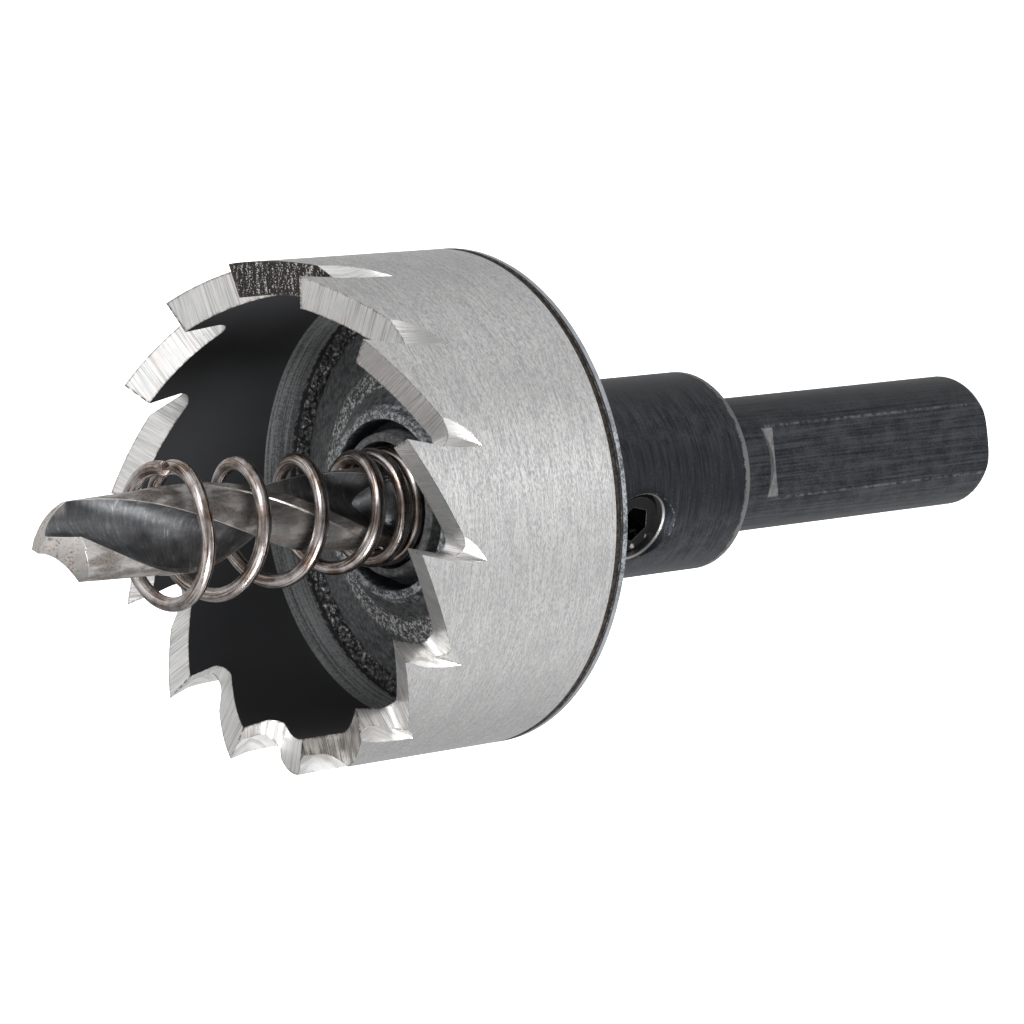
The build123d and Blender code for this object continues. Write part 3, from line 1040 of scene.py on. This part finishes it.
class ShapeTree(Graph):
    """Geometry Nodes tree with named inputs."""

    def __init__(self, name: str) -> None:
        """Makes the group with its geometry sockets.

        Args:
            name: The group's name.
        """
        group = bpy.data.node_groups.new(name, "GeometryNodeTree")
        super().__init__(group)
        group.interface.new_socket("Geometry", in_out="INPUT", socket_type="NodeSocketGeometry")
        group.interface.new_socket("Geometry", in_out="OUTPUT", socket_type="NodeSocketGeometry")
        self.source = self.node("NodeGroupInput")
        self.target = self.node("NodeGroupOutput")
        self.settings: dict[str, Any] = {}

    def given(self, sizes: Mapping[str, Union[int, float]]) -> list[Value]:
        """Adds named inputs.

        Args:
            sizes: What the modifier sets each input to, by name.

        Returns:
            The inputs as values.
        """
        for name, size in sizes.items():
            kind = "NodeSocketInt" if isinstance(size, int) else "NodeSocketFloat"
            socket = self.tree.interface.new_socket(name, in_out="INPUT", socket_type=kind)
            self.settings[socket.identifier] = size
        return [self.out(self.source, name) for name in sizes]

    def run(self, piece: bpy.types.Object, result: Value) -> bpy.types.Object:
        """Ends the tree, runs it on a piece and leaves a plain mesh.

        Args:
            piece: The object whose mesh enters the tree.
            result: The geometry that leaves it.

        Returns:
            The piece.
        """
        self.plug(self.target.inputs[0], result)
        modifier = piece.modifiers.new(self.tree.name, "NODES")
        modifier.node_group = self.tree
        for identifier, value in self.settings.items():
            modifier[identifier] = value
        return applied(piece)

    def polar(self, radius: Value, clock: Value, height: Value) -> Value:
        """The place at a radius, a clock angle and a height."""
        return self.combine(radius * self.math("SINE", clock), radius * self.math("COSINE", clock), height)

    def painted(self, geometry: Value, material: bpy.types.Material) -> Value:
        """The geometry with one material."""
        return self.made("GeometryNodeSetMaterial", {"Geometry": geometry, "Material": material})

    def marked(self, geometry: Value, name: str, value: Value, domain: str) -> Value:
        """Keeps a number as an attribute.

        Args:
            geometry: The mesh or curve.
            name: The attribute's name.
            value: The number.
            domain: POINT or FACE.

        Returns:
            The geometry with the attribute.
        """
        values = {"Geometry": geometry, "Name": name, "Value": value}
        settings = {"data_type": "FLOAT", "domain": domain}
        return self.made("GeometryNodeStoreNamedAttribute", values, settings)


@dataclass
class ToothedRing:
    """Ring whose gullets and gashes are ground out one tooth at a time."""

    outer_radius: float = 17.5 * MM
    tooth_wall: float = 2.35 * MM
    ledge_width: float = 0.5 * MM
    rear: float = 50.4 * MM
    ledge_top: float = 55.3 * MM
    ledge_drop: float = 1.4 * MM
    tip_plane: float = 67.3 * MM
    edge_break: float = 0.06 * MM
    segments: int = 720
    tooth_count: int = 14
    first_clock: float = math.radians(-6.1)
    spacing_error: float = math.radians(2.0)
    spacing_error_clock: float = math.radians(26.0)
    relief: float = math.radians(29.3)
    hook: float = math.radians(14.0)
    lean: float = math.radians(6.5)
    root_radius: float = 0.8 * MM
    gash_depth: float = 1.5 * MM
    gash_floor: float = math.radians(33.0)
    gash_wall: float = math.radians(75.0)
    gash_wheel: float = 5.6 * MM
    gash_stop: float = 2.6 * MM
    gash_reach: float = 0.4 * MM
    gash_drift: float = math.radians(20.0)
    gash_runout_drift: float = math.radians(10.0)
    rake_share: float = 0.2
    gash_depth_error: float = 0.45 * MM
    gash_depth_clock: float = math.radians(116.0)
    gash_stop_error: float = 0.9 * MM
    gash_stop_clock: float = math.radians(170.0)
    gullet_over: float = 3.0 * MM
    gash_over: float = 2.0 * MM
    root_steps: int = 10
    wheel_steps: int = 24
    sharp_angle: float = 22.0

    def build(self) -> None:
        wall = WallFinish().build()
        gullet = self.cutter("gullet_space", self.gullet_rings(), GroundFinish().build())
        gash = self.cutter("gash_space", self.gash_rings(), GashFinish().build())
        ring = link("toothed_ring", lathe("toothed_ring", self.outline(), self.segments))
        ring.data.materials.append(wall)
        self.grind(ring, gullet, gash, wall)
        for space in (gullet, gash):
            bpy.data.objects.remove(space)
        shade(ring.data, self.sharp_angle)
        settle(ring, "cutter_ring")

    def outline(self) -> list[Corner]:
        """Draws the section of the turned ring before its teeth are cut.

        Returns:
            Its corners.
        """
        mouth_highlight = self.outer_radius - self.tooth_wall
        bore = mouth_highlight - self.ledge_width
        return [
            (self.outer_radius - self.edge_break, self.rear),
            (self.outer_radius, self.rear + self.edge_break),
            (self.outer_radius, self.tip_plane),
            (mouth_highlight, self.tip_plane),
            (mouth_highlight, self.ledge_top),
            (bore, self.ledge_top - self.ledge_drop),
            (bore, self.rear),
        ]

    def cutter(self, name: str, rings: list[list[Vector]], material: bpy.types.Material) -> bpy.types.Object:
        """Makes the space that one pass of a wheel clears.

        Args:
            name: The space's name.
            rings: Its outlines, with the tooth's tip at the origin and outwards along +Y.
            material: The finish that it leaves.

        Returns:
            The space's object.
        """
        space = link(name, loft(name, rings))
        space.data.materials.append(material)
        return space

    def span(self, spacing: float) -> float:
        """Width of the gullet for this spacing in radians."""
        return self.outer_radius * (
            math.sin(spacing) * math.cos(self.lean) - (1 - math.cos(spacing)) * math.sin(self.lean)
        )

    def gullet_rings(self) -> list[list[Vector]]:
        """Draws the gullet's prism, with a round root.

        Returns:
            The outlines of its two ends.
        """
        over = self.gullet_over
        rise = math.tan(self.relief)
        lean = math.tan(self.hook)
        pitch = 2 * math.pi / self.tooth_count
        span = self.span(pitch)
        depth = span * rise / (1 - rise * lean)
        root = Vector((depth * lean, -depth))
        up_rake = (Vector((-2 * over * lean, 2 * over)) - root).normalized()
        up_relief = (Vector((-span - over, over * rise)) - root).normalized()
        half = up_rake.angle(up_relief) / 2
        centre = root + (up_rake + up_relief).normalized() * self.root_radius / math.sin(half)
        start = root + up_rake * self.root_radius / math.tan(half) - centre
        sweep = math.pi - 2 * half
        steps = self.root_steps
        outline = [(-span - over, over * rise), (-span - over, 2 * over), (-2 * over * lean, 2 * over)]
        for step in range(steps + 1):
            point = centre + Matrix.Rotation(-sweep * step / steps, 2) @ start
            outline.append((point.x, point.y))
        reach = 2 * self.tooth_wall + self.outer_radius * (1 - math.cos(pitch))
        turn = Matrix.Rotation(-self.lean, 3, "Z")
        return [[turn @ Vector((x, y, z)) for x, z in outline] for y in (over, -reach)]

    def gash_rings(self) -> list[list[Vector]]:
        """Draws the V of the gash, straight in front of the wheel's stop and round behind it.

        Returns:
            Its outlines from the front to the rear.
        """
        over = self.gash_over
        height = self.gash_depth + over
        outline = (
            Vector((0, -self.gash_depth, 0)),
            Vector((-height / math.tan(self.gash_floor), over, 0)),
            Vector((height / math.tan(self.gash_wall), over, 0)),
        )
        front = self.gash_stop + self.gash_stop_error + over
        drift = math.tan(self.gash_drift - self.gash_runout_drift)
        rings = [[point + Vector((-drift * front, 0, front)) for point in outline]]
        spindle = Vector((0, self.gash_wheel - self.gash_depth, 0))
        for step in range(self.wheel_steps + 1):
            turn = Matrix.Rotation(math.pi / 2 * step / self.wheel_steps, 3, "X")
            rings.append([spindle + turn @ (point - spindle) for point in outline])
        place = Vector((self.gash_reach, 0, -self.gash_stop))
        turn = Matrix.Rotation(-self.gash_runout_drift, 3, "Y")
        return [[place + turn @ point for point in ring] for ring in rings]

    def grind(
        self,
        ring: bpy.types.Object,
        gullet: bpy.types.Object,
        gash: bpy.types.Object,
        wall: bpy.types.Material,
    ) -> None:
        """Cuts the teeth with one tree.

        Args:
            ring: The turned ring.
            gullet: The gullet's space.
            gash: The gash's space.
            wall: The finish of what isn't ground.
        """
        tree = ShapeTree("grind_teeth")
        sizes = {
            "Tooth Count": self.tooth_count,
            "First Clock": self.first_clock,
            "Outer Radius": self.outer_radius,
            "Tip Height": self.tip_plane,
            "Spacing Error": self.spacing_error,
            "Rake Lean": self.lean,
            "Gash Depth Error": self.gash_depth_error,
            "Gash Stop Error": self.gash_stop_error,
        }
        count, first, radius, height, error, lean, depth_error, stop_error = tree.given(sizes)
        pitch = 2 * math.pi / count
        index = tree.made("GeometryNodeInputIndex")
        even = first + index * pitch
        clock = even + error * tree.math("COSINE", even - self.spacing_error_clock)
        before = even - pitch
        spacing = clock - before - error * tree.math("COSINE", before - self.spacing_error_clock)
        across = tree.math("SINE", spacing) * tree.math("COSINE", lean)
        span = radius * (across - (1.0 - tree.math("COSINE", spacing)) * tree.math("SINE", lean))
        stretch = span / self.span(2 * math.pi / self.tooth_count)
        outwards = depth_error * tree.math("COSINE", clock - self.gash_depth_clock)
        forwards = stop_error * tree.math("COSINE", clock - self.gash_stop_clock)
        scale = tree.combine(stretch, 1.0, stretch)
        gullets = self.round_ring(tree, gullet, count, clock, radius, height, scale)
        scale = (1.0, 1.0, 1.0)
        gashes = self.round_ring(tree, gash, count, clock, radius + outwards, height + forwards, scale)
        ground = tree.out(tree.source, "Geometry")
        for spaces in (gullets, gashes):
            settings = {"operation": "DIFFERENCE", "solver": "EXACT"}
            ground = tree.made("GeometryNodeMeshBoolean", {0: ground, 1: spaces}, settings)
        x, y, _ = tree.separate(tree.made("GeometryNodeInputPosition"))
        here = tree.math("ARCTAN2", x, y)
        even_here = here - error * tree.math("COSINE", here - self.spacing_error_clock)
        nearest = tree.math("CEIL", (even_here - first) / pitch - self.rake_share)
        even_tooth = first + nearest * pitch
        tooth = even_tooth + error * tree.math("COSINE", even_tooth - self.spacing_error_clock)
        ground = tree.marked(ground, "tooth_clock", tooth, "FACE")
        ground = tree.made("GeometryNodeRealizeInstances", {0: ground})
        unground = tree.made("GeometryNodeMaterialSelection", {0: wall})
        values = {"Geometry": ground, "Selection": unground, "Material": wall}
        tree.run(ring, tree.made("GeometryNodeSetMaterial", values))

    def round_ring(
        self,
        tree: ShapeTree,
        space: bpy.types.Object,
        count: Value,
        clock: Value,
        radius: Value,
        height: Value,
        scale: Any,
    ) -> Value:
        """Instances of a space at every tooth.

        Args:
            tree: The tree that they go into.
            space: The space's object.
            count: How many teeth there are.
            clock: Clock angle of each.
            radius: Distance of each from the axis.
            height: Height of each.
            scale: Scale of each.

        Returns:
            The instances.
        """
        spot = tree.polar(radius, clock, height)
        points = tree.made("GeometryNodePoints", {"Count": count, "Position": spot})
        shape = tree.made("GeometryNodeObjectInfo", {"Object": space}, key="Geometry")
        turn = tree.made("FunctionNodeEulerToRotation", {0: tree.combine(0.0, 0.0, 0.0 - clock)})
        values = {"Points": points, "Instance": shape, "Rotation": turn, "Scale": scale}
        return tree.made("GeometryNodeInstanceOnPoints", values)


@dataclass
class EjectorSpring:
    """Conical wire spring with left-hand turns, closed at its rear and leaning a little."""

    wire_radius: float = 0.5 * MM
    rear_radius: float = 3.65 * MM
    spread: float = 0.95 * MM
    seat: float = 54.1 * MM
    rear_turns: float = 3.0
    rear_pitch: float = 1.3 * MM
    active_turns: float = 3.2
    active_pitch: float = 5.12 * MM
    front_turns: float = 0.83
    front_pitch: float = 0.35 * MM
    start_clock: float = math.radians(-3.0)
    lean: float = math.radians(1.0)
    steps_per_turn: int = 72
    wire_sides: int = 20
    sharp_angle: float = 50.0

    def build(self) -> None:
        material = WireFinish().build()
        spring = link("wire_spring", bpy.data.meshes.new("wire_spring"))
        tree = ShapeTree("wind_wire")
        turns = self.rear_turns + self.active_turns + self.front_turns
        sizes = {
            "Steps": round(turns * self.steps_per_turn),
            "Turns": turns,
            "Wire Radius": self.wire_radius,
            "Rear Radius": self.rear_radius,
            "Spread": self.spread,
            "Rear Pitch": self.rear_pitch,
            "Active Pitch": self.active_pitch,
            "Front Pitch": self.front_pitch,
            "Wire Sides": self.wire_sides,
        }
        given = tree.given(sizes)
        steps, total, wire, rear_radius, spread, rear_pitch, active_pitch, front_pitch, sides = given
        turn = total * tree.made("GeometryNodeInputIndex") / (steps - 1.0)
        at_rear = tree.math("MINIMUM", turn, self.rear_turns)
        past_rear = tree.math("MINIMUM", turn - self.rear_turns, self.active_turns)
        active = tree.math("MAXIMUM", past_rear, 0.0)
        at_front = tree.math("MAXIMUM", turn - self.rear_turns - self.active_turns, 0.0)
        radius = rear_radius + spread * active / self.active_turns
        height = wire + at_rear * rear_pitch + active * active_pitch + at_front * front_pitch
        clock = turn * 2 * math.pi + self.start_clock
        line = tree.made("GeometryNodeCurvePrimitiveLine")
        path = tree.made("GeometryNodeResampleCurve", {"Curve": line, "Count": steps})
        spot = tree.polar(radius, clock, height)
        path = tree.made("GeometryNodeSetPosition", {"Geometry": path, "Position": spot})
        length = tree.made("GeometryNodeSplineParameter", key="Length")
        path = tree.marked(path, "along", length, "POINT")
        profile = tree.made("GeometryNodeCurvePrimitiveCircle", {"Resolution": sides, "Radius": wire})
        share = tree.made("GeometryNodeSplineParameter", key="Factor")
        profile = tree.marked(profile, "around", share, "POINT")
        values = {"Curve": path, "Profile Curve": profile, "Fill Caps": True}
        mesh = tree.made("GeometryNodeCurveToMesh", values)
        lift = (self.rear_radius + 2 * self.wire_radius) * math.sin(self.lean)
        values = {"Geometry": mesh, "Translation": (0, 0, self.seat + lift), "Rotation": (self.lean, 0, 0)}
        mesh = tree.made("GeometryNodeRealizeInstances", {0: tree.made("GeometryNodeTransform", values)})
        tree.run(spring, tree.painted(mesh, material))
        shade(spring.data, self.sharp_angle)
        settle(spring, "ejector_spring")


@dataclass
class BrazeBead:
    """Filler metal: the layer between ring and flange, and the lumpy bead inside."""

    outer_radius: float = 17.42 * MM
    ring_bore: float = 14.65 * MM
    spigot_radius: float = 14.55 * MM
    rim_front: float = 50.0 * MM
    ring_rear: float = 50.4 * MM
    floor: float = 52.3 * MM
    bead: float = 0.65 * MM
    bead_width: float = 1.15 * MM
    floor_slope: float = 0.344
    rows: int = 14
    segments: int = 720
    hollow: float = 0.35
    lump: float = 0.2 * MM
    lump_scale: float = 1.2
    lump_noise: tuple[float, float, int] = (0.7, 2.1, 5)
    lump_mean: float = 0.35
    foot_edge: float = 0.05 * MM
    head_edge: float = 0.02 * MM
    fade: float = 0.15 * MM
    sharp_angle: float = 60.0

    def build(self) -> None:
        mesh = lathe("braze_bead", self.outline(), self.segments)
        for vertex in mesh.vertices:
            self.roughen(vertex)
        mesh.materials.append(BrazeFinish().build())
        shade(mesh, self.sharp_angle)
        settle(link("braze_bead", mesh), "braze_joint")

    def outline(self) -> list[Corner]:
        """Draws the section of the layer and the bead, whose open side is a hollow curve.

        Returns:
            Its corners.
        """
        foot = Vector((self.ring_bore - self.bead_width, self.floor + self.bead_width * self.floor_slope))
        head = Vector((self.ring_bore, self.floor + self.bead))
        corner = Vector((self.ring_bore, foot.y))
        middle = (foot + head) / 2 + (corner - (foot + head) / 2) * self.hollow
        curve = []
        for row in range(self.rows + 1):
            share = row / self.rows
            point = head * (1 - share) ** 2 + middle * 2 * share * (1 - share) + foot * share ** 2
            curve.append((point.x, point.y))
        return [
            (self.outer_radius, self.rim_front),
            (self.outer_radius, self.ring_rear),
            (self.ring_bore, self.ring_rear),
            *curve,
            (self.spigot_radius, self.floor),
            (self.spigot_radius, self.rim_front),
        ]

    def roughen(self, vertex: bpy.types.MeshVertex) -> None:
        """Moves a point of the bead's open side by a lumpy noise, less near the ring.

        Args:
            vertex: The point. One on another side stays.
        """
        place = vertex.co
        radius = math.hypot(place.x, place.y)
        if place.z < self.floor + self.foot_edge or radius > self.ring_bore - self.head_edge:
            return
        inwards = Vector((-place.x / radius, -place.y / radius, 1.0)).normalized()
        lumps = noise.fractal(place / MM * self.lump_scale, *self.lump_noise) + self.lump_mean
        share = min((self.ring_bore - radius) / self.fade, 1.0)
        vertex.co = place + inwards * lumps * self.lump * share


@dataclass
class TurnedAndGround:
    """The arbor, the pilot drill and the set screw, whose forms are those of the solids."""

    sharp_angle: float = 24.0
    arbor_turned_from: float = 49.25 * MM
    nothing_turned: float = 1.0

    def build(self) -> None:
        copies = (
            ("arbor", "arbor_body", Slot.ARBOR, OxideFinish(), self.arbor_turned_from),
            ("pilot_drill", "twist_drill", Slot.DRILL, DrillFinish(), self.nothing_turned),
            ("set_screw", "grub_screw", Slot.SCREW, ScrewFinish(), self.nothing_turned),
        )
        for node, name, slot, finish, turned_from in copies:
            settle(smooth_copy(node, name, finish.build(), self.sharp_angle, turned_from), node)


@dataclass(frozen=True)
class Light:
    """Something that shines on the saw from a heading and an elevation in degrees."""

    heading: float
    elevation: float

    def direction(self) -> Vector:
        """Where it comes from."""
        rise = math.radians(self.elevation)
        return clock_vector(math.radians(self.heading), math.cos(rise)) + Vector((0, 0, math.sin(rise)))


@dataclass(frozen=True)
class Glow(Light):
    """A soft light of the studio's surroundings, or a shadow where its strength is negative."""

    sharpness: float
    strength: float


@dataclass(frozen=True)
class Lamp(Light):
    """A soft box that points at the ring."""

    distance: float
    size: float
    power: float


@dataclass
class Studio:
    """Camera, surroundings, soft boxes and floor."""

    lens: float = 148.01
    sensor: float = 36.0
    near_limit: float = 0.01
    camera_place: Vector = field(default_factory=lambda: Vector((0.229533, 0.016318, 0.237366)))
    camera_right: Vector = field(default_factory=lambda: Vector((0.64408, -0.07069, -0.76168)))
    camera_back: Vector = field(default_factory=lambda: Vector((0.76496, 0.05952, 0.64132)))
    aim: Vector = field(default_factory=lambda: Vector((0.0, 0.0, 0.055)))
    floor_side: float = 3.0
    base: float = 0.56
    glows: tuple[Glow, ...] = (
        Glow(80.0, -40.0, 14.0, 0.97),
        Glow(150.0, -40.0, 6.0, 0.45),
        Glow(15.0, -30.0, 8.0, 0.35),
        Glow(-30.0, 47.0, 9.0, 0.72),
        Glow(172.0, 67.0, 10.0, 0.7),
        Glow(-68.0, 9.0, 9.0, 0.18),
        Glow(-123.0, 12.0, 6.0, -0.42),
        Glow(85.0, 40.0, 4.0, -0.42),
        Glow(60.0, 80.0, 12.0, 0.5),
    )
    lamps: tuple[Lamp, ...] = (
        Lamp(20.0, 45.0, 0.5, 0.2, 1.0),
        Lamp(140.0, 20.0, 0.5, 0.2, 3.0),
    )

    def build(self) -> None:
        """Makes the whole studio."""
        self.camera()
        self.surroundings()
        for number, lamp in enumerate(self.lamps):
            self.soft_box(number, lamp)
        self.floor()
        bpy.context.scene.view_settings.view_transform = "Standard"

    def camera(self) -> None:
        """Puts the camera at the photograph's viewing angle."""
        lens = bpy.data.cameras.new("camera")
        lens.lens = self.lens
        lens.sensor_width = self.sensor
        lens.clip_start = self.near_limit
        camera = link("camera", lens)
        back = self.camera_back.normalized()
        up = back.cross(self.camera_right).normalized()
        right = up.cross(back)
        pose = Matrix((right, up, back)).transposed().to_4x4()
        pose.translation = self.camera_place
        camera.matrix_world = pose
        bpy.context.scene.camera = camera

    def surroundings(self) -> None:
        """Pale surroundings that glow more from some sides."""
        world = bpy.data.worlds.new("surroundings")
        world.use_nodes = True
        bpy.context.scene.world = world
        tree = Graph(world.node_tree)
        towards = tree.made("ShaderNodeTexCoord", key="Generated")
        light: Operand = self.base
        for glow in self.glows:
            facing = tree.measure("DOT_PRODUCT", towards, glow.direction())
            light = tree.math("MAXIMUM", facing, 0.0) ** glow.sharpness * glow.strength + light
        sockets = world.node_tree.nodes["Background"].inputs
        tree.plug(sockets["Strength"], light)
        tree.plug(sockets["Color"], (1.0, 1.0, 1.0, 1.0))

    def soft_box(self, number: int, lamp: Lamp) -> None:
        """Adds one soft box, unseen by the camera.

        Args:
            number: Its number, for its name.
            lamp: Its place and power.
        """
        light = bpy.data.lights.new(f"soft_box_{number}", "AREA")
        light.energy = lamp.power
        light.size = lamp.size
        box = link(light.name, light)
        way = lamp.direction()
        turn = way.to_track_quat("Z", "Y").to_matrix().to_4x4()
        box.matrix_world = Matrix.Translation(self.aim + way * lamp.distance) @ turn
        box.visible_camera = False

    def floor(self) -> None:
        """Adds the pale floor, which only the camera sees."""
        half = self.floor_side / 2
        corners = [(x * half, y * half, 0.0) for x, y in ((-1, -1), (1, -1), (1, 1), (-1, 1))]
        mesh = bpy.data.meshes.new("floor")
        mesh.from_pydata(corners, [], [(0, 1, 2, 3)])
        mesh.materials.append(FloorFinish().build())
        floor = link("floor", mesh)
        floor.visible_glossy = False
        floor.visible_diffuse = False
        floor.visible_shadow = False


def main() -> None:
    """Builds every piece and the studio."""
    logging.basicConfig(level=logging.INFO, format="%(name)s %(message)s")
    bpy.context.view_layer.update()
    ToothedRing().build()
    BrazeBead().build()
    TurnedAndGround().build()
    EjectorSpring().build()
    Studio().build()


if __name__ == "__main__":
    main()
